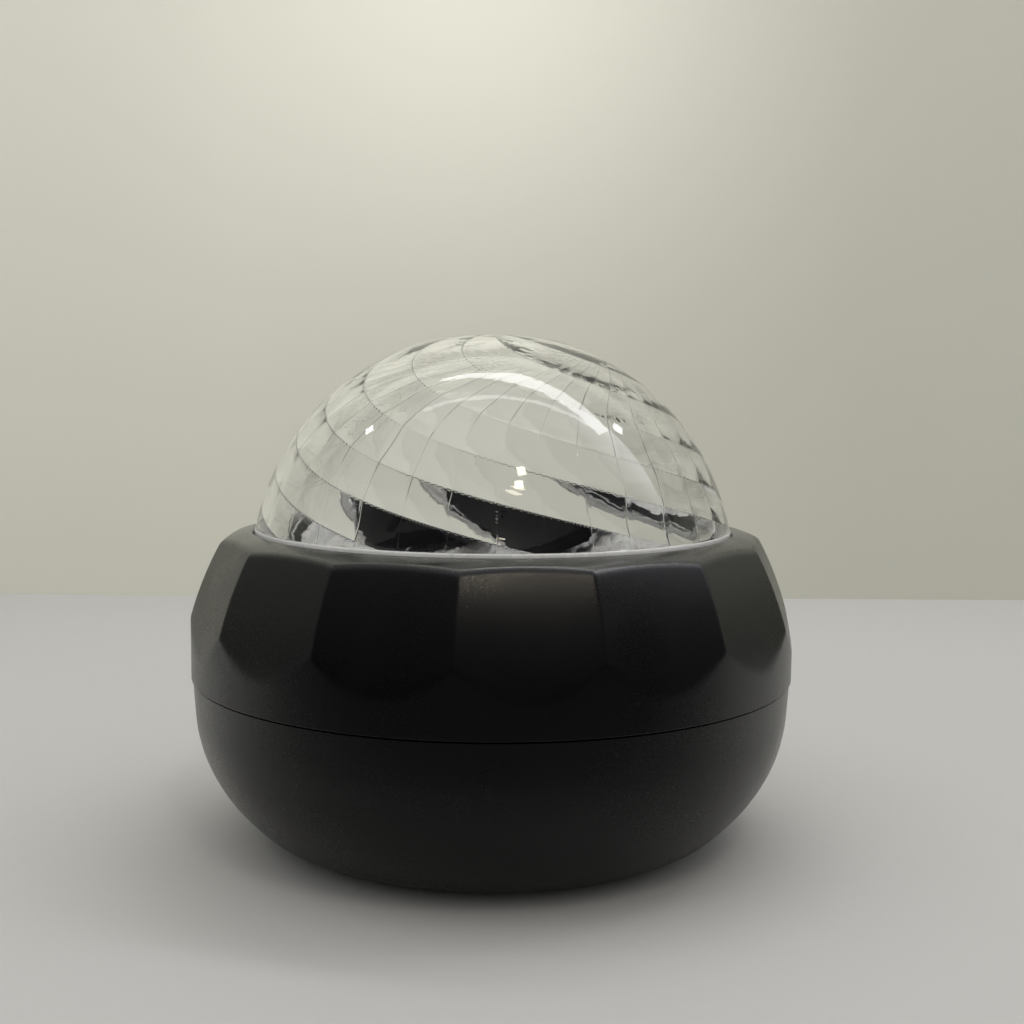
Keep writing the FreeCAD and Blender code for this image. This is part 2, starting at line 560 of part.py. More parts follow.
# plugs of the two internal leads
save("lead_connectors", group([
    box(-3.0, 3.0, 16.4, 20.6, LED_BOARD_Z0 - 2.6, LED_BOARD_Z0),        # under the lamp board
    box(0.5, 6.5, 10.0, 14.5, BOARD_Z1, BOARD_Z1 + 4.0),                 # lamp lead on the main board
    box(-8.5, -2.5, 10.0, 14.5, BOARD_Z1, BOARD_Z1 + 4.0),               # motor lead on the main board
]))


def lead(points, r, bend):
    """A round lead along straight runs joined by tangent arcs."""
    pts = [V(*p) for p in points]
    edges, here = [], pts[0]
    for i in range(1, len(pts) - 1):
        a, b, c = pts[i - 1], pts[i], pts[i + 1]
        u, w = (a - b), (c - b)
        u.normalize()
        w.normalize()
        half = math.acos(max(-1.0, min(1.0, u.dot(w)))) / 2.0
        back = bend / math.tan(half)
        p0, p1 = b + u * back, b + w * back
        axis = (u + w)
        axis.normalize()
        mid = b + axis * (bend / math.sin(half) - bend)
        edges.append(Part.LineSegment(here, p0).toShape())
        edges.append(Part.Arc(p0, mid, p1).toShape())
        here = p1
    edges.append(Part.LineSegment(here, pts[-1]).toShape())
    path = Part.Wire(edges)
    direction = pts[1] - pts[0]
    section = Part.Wire([Part.Circle(pts[0], direction, r).toShape()])
    solid = path.makePipeShell([section], True, True)
    ideal = math.pi * r * r * path.Length
    print("  lead length", round(path.Length, 1), "volume", round(solid.Volume, 1), "of", round(ideal, 1))
    return solid


# lamp lead: four cores side by side, from the lamp board over the edge of the chassis to the main board
lamp_cores = []
for x in (-1.8, -0.6, 0.6, 1.8):
    lamp_cores.append(lead([(x, 20.6, 46.1), (x, 24.6, 46.1), (x + 10.0, 30.0, 46.1), (x + 10.0, 30.0, 26.0), (x + 3.5, 12.25, 26.0),
                            (x + 3.5, 12.25, BOARD_Z1 + 4.0)], 0.5, 2.2))
save("lamp_lead", group(lamp_cores))
motor_cores = []
for s in (-1, 1):
    motor_cores.append(lead([(s * 3.6, MY, 15.4), (s * 3.6, MY, 11.5), (s * 1.2 - 5.5, 3.0, 11.5),
                             (s * 1.2 - 5.5, 3.0, 27.0), (s * 1.2 - 5.5, 12.25, 27.0),
                             (s * 1.2 - 5.5, 12.25, BOARD_Z1 + 4.0)], 0.5, 2.2))
save("motor_lead", group(motor_cores))
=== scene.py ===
import json
import math
import random

import bmesh
import bpy
from mathutils import Matrix, Vector


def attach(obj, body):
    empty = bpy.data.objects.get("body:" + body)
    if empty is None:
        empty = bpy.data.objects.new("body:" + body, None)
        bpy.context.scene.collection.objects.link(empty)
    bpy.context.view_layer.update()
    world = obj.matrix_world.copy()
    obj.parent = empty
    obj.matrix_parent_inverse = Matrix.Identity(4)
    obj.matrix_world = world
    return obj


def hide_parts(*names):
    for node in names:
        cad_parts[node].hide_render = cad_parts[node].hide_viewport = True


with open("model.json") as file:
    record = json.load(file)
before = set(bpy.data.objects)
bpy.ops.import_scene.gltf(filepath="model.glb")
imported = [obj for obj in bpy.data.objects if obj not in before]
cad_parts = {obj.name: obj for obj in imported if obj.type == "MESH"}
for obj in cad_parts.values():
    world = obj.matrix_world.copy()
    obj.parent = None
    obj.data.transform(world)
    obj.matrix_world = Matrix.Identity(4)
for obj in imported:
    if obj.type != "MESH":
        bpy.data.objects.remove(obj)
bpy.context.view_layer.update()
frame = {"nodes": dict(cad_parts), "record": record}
nodes = frame["nodes"]
MM = 0.001
scene = bpy.context.scene

# ------------------------------------------------------------------ camera at the photograph's angle
PITCH, YAW, ROLL = 0.0950, 0.014, 0.008
right0 = Vector((math.cos(YAW), -math.sin(YAW), 0.0))
up0 = Vector((math.sin(YAW) * math.sin(PITCH), math.cos(YAW) * math.sin(PITCH), math.cos(PITCH)))
forward = Vector((math.sin(YAW) * math.cos(PITCH), math.cos(YAW) * math.cos(PITCH), -math.sin(PITCH)))
cam_right = right0 * math.cos(ROLL) + up0 * math.sin(ROLL)
cam_up = up0 * math.cos(ROLL) - right0 * math.sin(ROLL)
cam_data = bpy.data.cameras.new("camera")
cam_data.sensor_fit = "HORIZONTAL"
cam_data.sensor_width = 36.0
cam_data.lens = 1345.152 / 1024.0 * 36.0
cam_data.clip_start = 0.01
cam_data.clip_end = 20.0
cam = bpy.data.objects.new("camera", cam_data)
scene.collection.objects.link(cam)
m = Matrix((cam_right, cam_up, -forward)).transposed().to_4x4()
m.translation = Vector((0.0, -0.248875, 0.083435))
cam.matrix_world = m
scene.camera = cam


# ------------------------------------------------------------------ material helpers
class Tree:
    """Small helper round one material's nodes."""

    def __init__(self, name):
        self.mat = bpy.data.materials.new(name)
        self.mat.use_nodes = True
        self.nt = self.mat.node_tree
        self.nt.nodes.clear()
        self.out = self.nt.nodes.new("ShaderNodeOutputMaterial")
        self.bsdf = self.nt.nodes.new("ShaderNodeBsdfPrincipled")
        self.nt.links.new(self.bsdf.outputs[0], self.out.inputs[0])
        coord = self.nt.nodes.new("ShaderNodeTexCoord")
        self.pos = coord.outputs["Object"]

    def set(self, **values):
        for key, value in values.items():
            self.bsdf.inputs[key.replace("_", " ")].default_value = value

    def node(self, kind, **props):
        n = self.nt.nodes.new(kind)
        for key, value in props.items():
            setattr(n, key, value)
        return n

    def link(self, a, b):
        self.nt.links.new(a, b)

    def noise(self, scale, detail=3.0, rough=0.55, stretch=None, distortion=0.0):
        n = self.node("ShaderNodeTexNoise")
        n.inputs["Scale"].default_value = scale
        n.inputs["Detail"].default_value = detail
        n.inputs["Roughness"].default_value = rough
        n.inputs["Distortion"].default_value = distortion
        source = self.pos
        if stretch is not None:
            mapping = self.node("ShaderNodeMapping")
            mapping.inputs["Scale"].default_value = stretch
            self.link(source, mapping.inputs[0])
            source = mapping.outputs[0]
        self.link(source, n.inputs["Vector"])
        return n.outputs["Fac"]

    def span(self, value, lo, hi, a=0.3, b=0.7):
        n = self.node("ShaderNodeMapRange")
        n.inputs["From Min"].default_value = a
        n.inputs["From Max"].default_value = b
        n.inputs["To Min"].default_value = lo
        n.inputs["To Max"].default_value = hi
        self.link(value, n.inputs["Value"])
        return n.outputs["Result"]

    def math(self, op, a, b):
        n = self.node("ShaderNodeMath", operation=op)
        for i, x in enumerate((a, b)):
            if isinstance(x, (int, float)):
                n.inputs[i].default_value = x
            else:
                self.link(x, n.inputs[i])
        return n.outputs[0]

    def ramp(self, value, stops):
        n = self.node("ShaderNodeValToRGB")
        els = n.color_ramp.elements
        while len(els) < len(stops):
            els.new(0.5)
        for e, (p, c) in zip(els, stops):
            e.position = p
            e.color = (*c, 1.0)
        self.link(value, n.inputs[0])
        return n.outputs["Color"]

    def bump(self, height, distance, strength=1.0, below=None):
        n = self.node("ShaderNodeBump")
        n.inputs["Strength"].default_value = strength
        n.inputs["Distance"].default_value = distance
        self.link(height, n.inputs["Height"])
        if below is not None:
            self.link(below, n.inputs["Normal"])
        return n.outputs["Normal"]

    def base(self, socket):
        self.link(socket, self.bsdf.inputs["Base Color"])

    def roughness(self, socket):
        self.link(socket, self.bsdf.inputs["Roughness"])

    def normal(self, socket):
        self.link(socket, self.bsdf.inputs["Normal"])


def shade(c, k):
    return tuple(min(1.0, x * k) for x in c)


def plastic(name, colour, rough, grain=1500.0, depth=6e-6, spread=0.06, tint=0.12, patch=90.0, **extra):
    """Moulded plastic: fine spark-eroded grain, slow sheen changes and a slight colour drift."""
    t = Tree(name)
    t.set(Specular_IOR_Level=0.5, **extra)
    big = t.noise(patch, 3.0)
    fine = t.noise(grain, 2.0, 0.6)
    t.base(t.ramp(big, [(0.25, shade(colour, 1 - tint)), (0.75, shade(colour, 1 + tint))]))
    t.roughness(t.math("ADD", t.span(big, rough - spread, rough + spread), t.span(fine, -0.03, 0.03)))
    t.normal(t.bump(fine, depth))
    return t


def metal(name, colour, rough, stretch=(1.0, 1.0, 14.0), scale=260.0, depth=4e-6):
    """Drawn or turned metal: streaks one way, small stains."""
    t = Tree(name)
    t.set(Metallic=1.0)
    streak = t.noise(scale, 4.0, 0.6, stretch)
    stain = t.noise(140.0, 3.0)
    t.base(t.ramp(stain, [(0.3, shade(colour, 0.86)), (0.7, shade(colour, 1.05))]))
    t.roughness(t.math("ADD", t.span(streak, rough - 0.08, rough + 0.1), t.span(stain, -0.03, 0.05)))
    t.normal(t.bump(streak, depth))
    return t


# ------------------------------------------------------------------ mesh helpers
def new_object(name, verts, faces, smooth=True):
    mesh = bpy.data.meshes.new(name)
    mesh.from_pydata(verts, [], faces)
    mesh.validate()
    mesh.update()
    for p in mesh.polygons:
        p.use_smooth = smooth
    ob = bpy.data.objects.new(name, mesh)
    scene.collection.objects.link(ob)
    return ob


def mark_sharp(ob, angle_deg):
    """Edges that turn by more than the angle stay sharp, the rest are shaded smooth."""
    bm = bmesh.new()
    bm.from_mesh(ob.data)
    limit = math.radians(angle_deg)
    for e in bm.edges:
        if len(e.link_faces) == 2:
            e.smooth = e.calc_face_angle(0.0) < limit
    bm.to_mesh(ob.data)
    bm.free()


def spline_points(points, steps):
    """Catmull-Rom through the points, centripetal, as a dense list."""
    pts = [Vector((p[0], p[1], 0)) for p in points]
    pts = [pts[0] * 2 - pts[1]] + pts + [pts[-1] * 2 - pts[-2]]
    out = []
    for i in range(1, len(pts) - 2):
        p0, p1, p2, p3 = pts[i - 1], pts[i], pts[i + 1], pts[i + 2]
        t0 = 0.0
        t1 = t0 + max((p1 - p0).length, 1e-6) ** 0.5
        t2 = t1 + max((p2 - p1).length, 1e-6) ** 0.5
        t3 = t2 + max((p3 - p2).length, 1e-6) ** 0.5
        for k in range(steps):
            t = t1 + (t2 - t1) * k / steps
            a1 = p0 * ((t1 - t) / (t1 - t0)) + p1 * ((t - t0) / (t1 - t0))
            a2 = p1 * ((t2 - t) / (t2 - t1)) + p2 * ((t - t1) / (t2 - t1))
            a3 = p2 * ((t3 - t) / (t3 - t2)) + p3 * ((t - t2) / (t3 - t2))
            b1 = a1 * ((t2 - t) / (t2 - t0)) + a2 * ((t - t0) / (t2 - t0))
            b2 = a2 * ((t3 - t) / (t3 - t1)) + a3 * ((t - t1) / (t3 - t1))
            c = b1 * ((t2 - t) / (t2 - t1)) + b2 * ((t - t1) / (t2 - t1))
            out.append((c.x, c.y))
    out.append((points[-1][0], points[-1][1]))
    return out


# ------------------------------------------------------------------ floor, wall and light
def stage_material(name, colour, rough, grain):
    t = Tree(name)
    big = t.noise(3.0, 4.0)
    fine = t.noise(grain, 3.0)
    t.set(Specular_IOR_Level=0.25)
    t.base(t.ramp(big, [(0.3, shade(colour, 0.985)), (0.7, shade(colour, 1.015))]))
    t.roughness(t.span(fine, rough - 0.05, rough + 0.05))
    t.normal(t.bump(fine, 4e-5))
    return t.mat


WALL_Y = 0.274


def sheet_object(name, x0, x1, y0, y1, z, mat):
    ob = new_object(name, [(x0, y0, z), (x1, y0, z), (x1, y1, z), (x0, y1, z)], [(0, 1, 2, 3)], False)
    ob.data.materials.append(mat)
    return ob


floor_mat = stage_material("floor_pale", (0.60, 0.598, 0.588), 0.62, 420.0)
floor = sheet_object("floor", -3, 3, -3, 3, 0.0, floor_mat)
floor.visible_glossy = False
# what polished surfaces mirror of the table: it ends a little way in front, and its colour darkens towards the front
# as painted shade


def mirrored_floor():
    t = Tree("floor_mirrored")
    split = t.node("ShaderNodeSeparateXYZ")
    t.link(t.pos, split.inputs[0])
    t.set(Specular_IOR_Level=0.25, Roughness=0.62)
    # painted shade: the mirrored table's colour darkens towards the front
    t.base(t.ramp(t.span(split.outputs["Y"], 0.0, 1.0, -0.075, -0.005), [(0.0, (0.20, 0.199, 0.196)), (1.0, (0.60, 0.598, 0.588))]))
    t.normal(t.bump(t.noise(420.0, 3.0), 4e-5))
    return t.mat


near = sheet_object("floor_mirrored", -1.5, 1.5, -0.098, WALL_Y, 2e-5, mirrored_floor())
near.visible_camera = False
near.visible_diffuse = False
near.visible_transmission = False
near.visible_shadow = False
wall = new_object(
    "backdrop", [(-3, WALL_Y, 0.0), (3, WALL_Y, 0.0), (3, WALL_Y, 1.6), (-3, WALL_Y, 1.6)], [(0, 1, 2, 3)], False)


def wall_material():
    """Painted wall that glows with a painted wash of light, strongest high up in the middle and weaker to the right;
    its colour darkens towards the sides as painted shade.
    """
    t = Tree("wall_pale")
    big = t.noise(3.0, 4.0)
    fine = t.noise(160.0, 3.0)
    t.set(Specular_IOR_Level=0.1, Roughness=0.85)
    split = t.node("ShaderNodeSeparateXYZ")
    t.link(t.pos, split.inputs[0])
    # painted shade: the wall's colour and its glow fall off towards both sides
    out = t.span(t.math("ABSOLUTE", split.outputs["X"], 0.0), 1.0, 0.35, 0.27, 0.55)
    paint_with_side_shade = t.node("ShaderNodeMix", data_type="RGBA", blend_type="MULTIPLY")
    paint_with_side_shade.inputs[0].default_value = 1.0
    t.link(t.ramp(big, [(0.3, (0.63, 0.63, 0.55)), (0.7, (0.65, 0.65, 0.57))]), paint_with_side_shade.inputs[6])
    t.link(t.ramp(out, [(0.0, (0.0, 0.0, 0.0)), (1.0, (1.0, 1.0, 1.0))]), paint_with_side_shade.inputs[7])
    t.base(paint_with_side_shade.outputs[2])
    t.normal(t.bump(fine, 3e-5))
    # painted light: the wall glows, more to the left, more high up, and in a round spot in the middle
    side = t.span(split.outputs["X"], 1.0, 0.0, -0.10, 0.14)
    side = t.span(side, 0.0, 1.0, 0.0, 1.0)
    high = t.span(split.outputs["Z"], 0.45, 1.0, 0.0, 0.22)
    dx = t.math("MULTIPLY", split.outputs["X"], 1 / 0.10)
    dz = t.math("MULTIPLY", t.math("SUBTRACT", split.outputs["Z"], 0.24), 1 / 0.10)
    spot = t.math("EXPONENT", t.math("MULTIPLY", t.math("ADD", t.math("MULTIPLY", dx, dx), t.math("MULTIPLY", dz, dz)), -1.0), 0.0)
    wash = t.math("ADD", t.math("MULTIPLY", t.math("ADD", t.math("MULTIPLY", side, WALL_WASH[1]), WALL_WASH[0]), high),
                  t.math("MULTIPLY", spot, WALL_WASH[2]))
    # painted reflections: bright glowing level strips above the view, there only for what outer surfaces mirror
    up = t.span(split.outputs["Z"], 0.0, 1.0, 0.24, 1.24)
    strips = t.ramp(up, [(p, (c, c, c)) for p, c in (
        (0.0, 0.0), (0.03, 0.30), (0.12, 0.30), (0.16, 0.0), (0.21, 0.0), (0.25, 1.0), (0.33, 1.0), (0.40, 0.0), (0.54, 0.0),
        (0.60, 0.5), (0.76, 0.5), (0.82, 0.0), (1.0, 0.0))])
    path = t.node("ShaderNodeLightPath")
    outer = t.math("MULTIPLY", path.outputs["Is Glossy Ray"], t.math("LESS_THAN", path.outputs["Transmission Depth"], 0.5))
    wash = t.math("ADD", wash, t.math("MULTIPLY", t.math("MULTIPLY", strips, outer), WALL_WASH[3]))
    wash = t.math("MULTIPLY", wash, out)
    right = t.span(split.outputs["X"], 0.0, 1.0, 0.24, 0.34)
    # painted light: a glow in the middle, seen only through the clear dome
    through = t.math("MULTIPLY", t.math("EXPONENT", t.math("MULTIPLY", t.math("MULTIPLY", dx, dx), -1.0), 0.0),
                     t.math("GREATER_THAN", path.outputs["Transmission Depth"], 0.5))
    wash = t.math("ADD", wash, t.math("MULTIPLY", through, WALL_WASH[5]))
    # painted reflection: a pale veil glows on the right, only in what outer surfaces mirror
    band = t.math("MULTIPLY", t.span(split.outputs["Z"], 0.0, 1.0, 0.14, 0.20), t.span(split.outputs["Z"], 1.0, 0.0, 0.40, 0.60))
    veil = t.math("MULTIPLY", t.math("MULTIPLY", right, band), outer)
    wash = t.math("ADD", wash, t.math("MULTIPLY", veil, WALL_WASH[4]))
    # painted light: what the clear dome shows of the wall above the view glows dimmer, with level streaks
    lines = t.ramp(t.noise(9.0, 4.0, 0.62, (0.12, 1.0, 7.0), 0.2), [(p, (c, c, c)) for p, c in (
        (0.36, 0.0), (0.46, 0.30), (0.52, 0.75), (0.60, 0.40), (0.66, 0.9))])
    above = t.math("MULTIPLY", t.span(split.outputs["Z"], 0.0, 1.0, 0.20, 0.30), t.math("GREATER_THAN", path.outputs["Transmission Depth"], 0.5))
    dim = t.math("MULTIPLY", above, t.math("SUBTRACT", 1.0, lines))
    wash = t.math("MULTIPLY", wash, t.math("SUBTRACT", 1.0, t.math("MULTIPLY", dim, WALL_WASH[6])))
    # the painted light above is given as the wall's glow
    t.set(Emission_Color=(1.0, 0.995, 0.86, 1.0))
    t.link(wash, t.bsdf.inputs["Emission Strength"])
    return t.mat


# strengths of the wall's painted light: base glow, extra glow on the left, spot, mirrored strips, veil, glow seen
# through the dome, dimming seen through the dome
WALL_WASH = (0.09, 0.17, 0.24, 1.1, 0.25, 0.05, 0.9)
wall.data.materials.append(wall_material())


def area(name, where, towards, size, power, colour, size_y=None):
    data = bpy.data.lights.new(name, "AREA")
    data.energy = power
    data.color = colour
    data.shape = "RECTANGLE" if size_y else "SQUARE"
    data.size = size
    if size_y:
        data.size_y = size_y
    ob = bpy.data.objects.new(name, data)
    scene.collection.objects.link(ob)
    ob.location = where
    ob.rotation_mode = "QUATERNION"
    ob.rotation_quaternion = (Vector(towards) - Vector(where)).to_track_quat("-Z", "Y")
    return ob


# one long tube overhead and a little behind, a wide soft ceiling, and a small warm lamp in front
tube_a = area("overhead_tube", (0.14, 0.20, 0.80), (0.10, 0.08, 0.0), 0.96, 1.85, (0.98, 0.98, 1.0), 0.105)
tube_b = area("second_tube", (0.10, 0.03, 0.85), (0.10, 0.03, 0.0), 0.9, 0.28, (0.98, 0.98, 1.0), 0.03)
spot_l = area("small_lamp_left", (-0.68, 0.17, 0.80), (0.0, 0.0, 0.08), 0.06, 0.10, (0.98, 0.98, 1.0), 0.05)
spot_r = area("small_lamp_right", (0.67, 0.20, 0.80), (0.0, 0.0, 0.08), 0.07, 0.14, (0.98, 0.98, 1.0), 0.06)
ceiling = area("ceiling", (-0.62, -0.12, 1.5), (-0.05, 0.0, 0.0), 1.6, 3.9, (1.0, 0.99, 0.98))
ceiling.visible_glossy = False
tube_a.visible_transmission = False
tube_b.visible_transmission = False
spot_l.visible_transmission = False
spot_r.visible_transmission = False
area("front_warm_a", (0.157, -0.478, 0.69), (0.0, 0.0, 0.05), 0.05, 0.20, (1.0, 0.90, 0.72), 0.06)
area("front_warm_b", (0.149, -0.553, 0.63), (0.0, 0.0, 0.05), 0.05, 0.20, (1.0, 0.90, 0.72), 0.05)

# the room round the table: pale for the camera, soft fill for matt surfaces; polished and clear surfaces show it dark
# in front and pale at the sides and behind
world = bpy.data.worlds.new("room")
scene.world = world
world.use_nodes = True
wt = world.node_tree
wt.nodes.clear()


def room(colour=None, ramp=None):
    n = wt.nodes.new("ShaderNodeBackground")
    if colour is not None:
        n.inputs[0].default_value = (*colour, 1.0)
        return n
    r = wt.nodes.new("ShaderNodeValToRGB")
    els = r.color_ramp.elements
    while len(els) < len(ramp):
        els.new(0.5)
    for e, (p, c) in zip(els, ramp):
        e.position = p
        e.color = (c, c * 0.99, c * 0.97, 1)
    wt.links.new(height.outputs["Result"], r.inputs[0])
    wt.links.new(r.outputs["Color"], n.inputs[0])
    return n


w_out = wt.nodes.new("ShaderNodeOutputWorld")
w_path = wt.nodes.new("ShaderNodeLightPath")
w_coord = wt.nodes.new("ShaderNodeTexCoord")
w_split = wt.nodes.new("ShaderNodeSeparateXYZ")
height = wt.nodes.new("ShaderNodeMapRange")
height.inputs["From Min"].default_value = -1.0
height.inputs["From Max"].default_value = 1.0
wt.links.new(w_coord.outputs["Generated"], w_split.inputs[0])
wt.links.new(w_split.outputs["Z"], height.inputs["Value"])
w_camera = room((0.62, 0.615, 0.58))
w_matt = room(ramp=[(0.0, 0.03), (0.5, 0.015), (0.56, 0.12), (0.62, 0.34), (0.72, 0.62), (1.0, 0.70)])


def toned(stops, cool=False):
    r = wt.nodes.new("ShaderNodeValToRGB")
    els = r.color_ramp.elements
    while len(els) < len(stops):
        els.new(0.5)
    for e, (p, c) in zip(els, stops):
        e.position = p
        e.color = (c * 0.96, c * 0.98, c * 1.06, 1) if cool else (c, c * 0.99, c * 0.97, 1)
    wt.links.new(height.outputs["Result"], r.inputs[0])
    return r.outputs["Color"]


w_side = wt.nodes.new("ShaderNodeMapRange")
w_side.interpolation_type = "SMOOTHSTEP"
w_side.inputs["From Min"].default_value = -0.50
w_side.inputs["From Max"].default_value = 0.30
wt.links.new(w_split.outputs["Y"], w_side.inputs["Value"])
PALE = [(0.0, 0.42), (0.45, 0.45), (0.55, 0.47), (0.75, 0.46), (0.88, 0.46), (1.0, 0.46)]


def mirrored(front, rest, glow):
    """Background with one tone in front and another at the sides and behind, and a broad cool glow high up on the right."""
    mix = wt.nodes.new("ShaderNodeMix")
    mix.data_type = "RGBA"
    wt.links.new(w_side.outputs["Result"], mix.inputs[0])
    wt.links.new(toned(front, True), mix.inputs[6])
    wt.links.new(toned(rest), mix.inputs[7])
    dot = wt.nodes.new("ShaderNodeVectorMath")
    dot.operation = "DOT_PRODUCT"
    dot.inputs[1].default_value = (0.70, 0.35, 0.62)
    wt.links.new(w_coord.outputs["Generated"], dot.inputs[0])
    lobe = wt.nodes.new("ShaderNodeMapRange")
    lobe.interpolation_type = "SMOOTHSTEP"
    lobe.inputs["From Min"].default_value = 0.84
    lobe.inputs["From Max"].default_value = 1.0
    wt.links.new(dot.outputs["Value"], lobe.inputs["Value"])
    add = wt.nodes.new("ShaderNodeMix")
    add.data_type = "RGBA"
    add.blend_type = "ADD"
    wt.links.new(lobe.outputs["Result"], add.inputs[0])
    wt.links.new(mix.outputs[2], add.inputs[6])
    add.inputs[7].default_value = (glow, glow * 0.98, glow * 1.07, 1.0)
    back = wt.nodes.new("ShaderNodeBackground")
    wt.links.new(add.outputs[2], back.inputs[0])
    return back


DIM = [(0.0, 0.40), (0.46, 0.38), (0.52, 0.20), (0.60, 0.20), (0.75, 0.36), (0.88, 0.6), (1.0, 0.6)]
w_mirror = mirrored([(0.0, 0.10), (0.44, 0.06), (0.49, 0.011), (0.58, 0.012), (0.64, 0.036), (0.70, 0.055), (0.80, 0.08), (0.88, 0.14), (0.94, 0.45), (1.0, 0.75)], DIM, 3.0)
w_clear = mirrored([(0.0, 0.15), (0.44, 0.12), (0.49, 0.05), (0.58, 0.06), (0.70, 0.09), (0.80, 0.11), (0.90, 0.22), (1.0, 0.45)], PALE, 0.2)


def pick(flag, when, otherwise):
    n = wt.nodes.new("ShaderNodeMixShader")
    wt.links.new(flag, n.inputs[0])
    wt.links.new(otherwise.outputs[0], n.inputs[1])
    wt.links.new(when.outputs[0], n.inputs[2])
    return n


through = wt.nodes.new("ShaderNodeMath")
through.operation = "GREATER_THAN"
through.inputs[1].default_value = 0.5
wt.links.new(w_path.outputs["Transmission Depth"], through.inputs[0])
w_mix = pick(through.outputs[0], w_clear, w_mirror)
w_mix = pick(w_path.outputs["Is Diffuse Ray"], w_matt, w_mix)
w_mix = pick(w_path.outputs["Is Camera Ray"], w_camera, w_mix)
wt.links.new(w_mix.outputs[0], w_out.inputs[0])

scene.view_settings.view_transform = "Standard"
scene.view_settings.look = "None"
scene.cycles.max_bounces = 24
scene.cycles.transmission_bounces = 20
scene.cycles.glossy_bounces = 8
scene.cycles.transparent_max_bounces = 16

# ------------------------------------------------------------------ materials
M = {}


def shell_black():
    """Satin black moulding with a fine grain; the shoulder is smoother and has faint turned rings."""
    t = Tree("shell_black")
    colour = (0.0030, 0.0031, 0.0038)
    t.set(Specular_IOR_Level=0.5)
    big = t.noise(60.0, 3.0)
    fine = t.noise(2600.0, 2.0, 0.6)
    split = t.node("ShaderNodeSeparateXYZ")
    t.link(t.pos, split.inputs[0])
    x, y = split.outputs["X"], split.outputs["Y"]
    rho = t.math("SQRT", t.math("ADD", t.math("MULTIPLY", x, x), t.math("MULTIPLY", y, y)), 0.0)
    shoulder = t.span(split.outputs["Z"], 0.0, 1.0, 0.0553, 0.0560)
    t.base(t.ramp(big, [(0.25, shade(colour, 0.9)), (0.75, shade(colour, 1.1))]))
    rough = t.math("ADD", t.span(big, 0.25, 0.35), t.span(fine, -0.03, 0.03))
    t.roughness(t.math("SUBTRACT", rough, t.math("MULTIPLY", shoulder, 0.09)))
    ring_at = t.node("ShaderNodeCombineXYZ")
    t.link(rho, ring_at.inputs["X"])
    t.link(t.math("MULTIPLY", x, 0.04), ring_at.inputs["Y"])
    rings = t.node("ShaderNodeTexNoise")
    rings.inputs["Scale"].default_value = 1100.0
    rings.inputs["Detail"].default_value = 2.0
    t.link(ring_at.outputs[0], rings.inputs["Vector"])
    scratch = t.noise(900.0, 1.0, 0.4, (0.35, 5.0, 1.4), 0.6)
    lines = t.span(scratch, 0.0, 1.0, 0.735, 0.78)
    grain = t.bump(fine, 1.3e-5, 0.7)
    turned = t.bump(t.math("MULTIPLY", rings.outputs["Fac"], shoulder), 1.2e-5, 0.8, grain)
    t.normal(t.bump(lines, 1.2e-5, 0.35, turned))
    return t.mat


M["black_shell"] = shell_black()
M["black_parts"] = plastic("parts_black", (0.012, 0.012, 0.0125), 0.42).mat
t = plastic("plate_black", (0.0004, 0.0004, 0.0005), 0.85, grain=2400.0, depth=4e-6, spread=0.06)
t.set(Specular_IOR_Level=0.04)
M["plate_black"] = t.mat
M["button_black"] = plastic("button_black", (0.008, 0.008, 0.0085), 0.3, grain=3200.0).mat
M["white_gear"] = plastic("acetal_white", (0.78, 0.77, 0.72), 0.38, grain=1200.0, tint=0.04).mat
M["steel"] = metal("steel", (0.56, 0.56, 0.57), 0.3).mat
M["brass_parts"] = metal("brass", (0.74, 0.55, 0.25), 0.3).mat
M["rubber_feet"] = plastic("rubber", (0.02, 0.02, 0.02), 0.8, grain=900.0, depth=2e-5, spread=0.08).mat
M["lamp_body"] = plastic("lamp_phosphor", (0.80, 0.70, 0.28), 0.35, grain=2500.0, tint=0.06).mat
M["chip_black"] = plastic("chip_black", (0.02, 0.02, 0.022), 0.55, grain=2200.0, depth=1e-5).mat
M["motor_plastic"] = plastic("motor_plastic", (0.66, 0.66, 0.62), 0.5, tint=0.05).mat
M["switch_plastic"] = plastic("switch_plastic", (0.06, 0.06, 0.06), 0.45).mat
M["lead_sleeve"] = plastic("lead_sleeve", (0.42, 0.03, 0.025), 0.4, grain=600.0, depth=1e-5).mat


def board_material(name, mask, silk):
    """Circuit board: solder mask over copper runs, glass weave under it."""
    t = Tree(name)
    t.set(Specular_IOR_Level=0.5)
    brick = t.node("ShaderNodeTexBrick")
    brick.inputs["Scale"].default_value = 210.0
    brick.inputs["Mortar Size"].default_value = 0.018
    t.link(t.pos, brick.inputs["Vector"])
    brick.inputs["Color1"].default_value = (*mask, 1)
    brick.inputs["Color2"].default_value = (*shade(mask, 1.18), 1)
    brick.inputs["Mortar"].default_value = (*shade(mask, 1.6), 1)
    weave = t.noise(1400.0, 2.0)
    mix = t.node("ShaderNodeMix", data_type="RGBA")
    mix.inputs[0].default_value = 0.25
    t.link(brick.outputs["Color"], mix.inputs[6])
    t.link(t.ramp(weave, [(0.3, shade(mask, 0.8)), (0.7, shade(mask, 1.3))]), mix.inputs[7])
    t.base(mix.outputs[2])
    t.roughness(t.span(weave, 0.22, 0.4))
    t.normal(t.bump(brick.outputs["Fac"], 1.5e-5))
    return t.mat


M["board_green"] = board_material("board_green", (0.02, 0.13, 0.05), True)
M["board_white"] = board_material("board_white", (0.72, 0.72, 0.70), False)


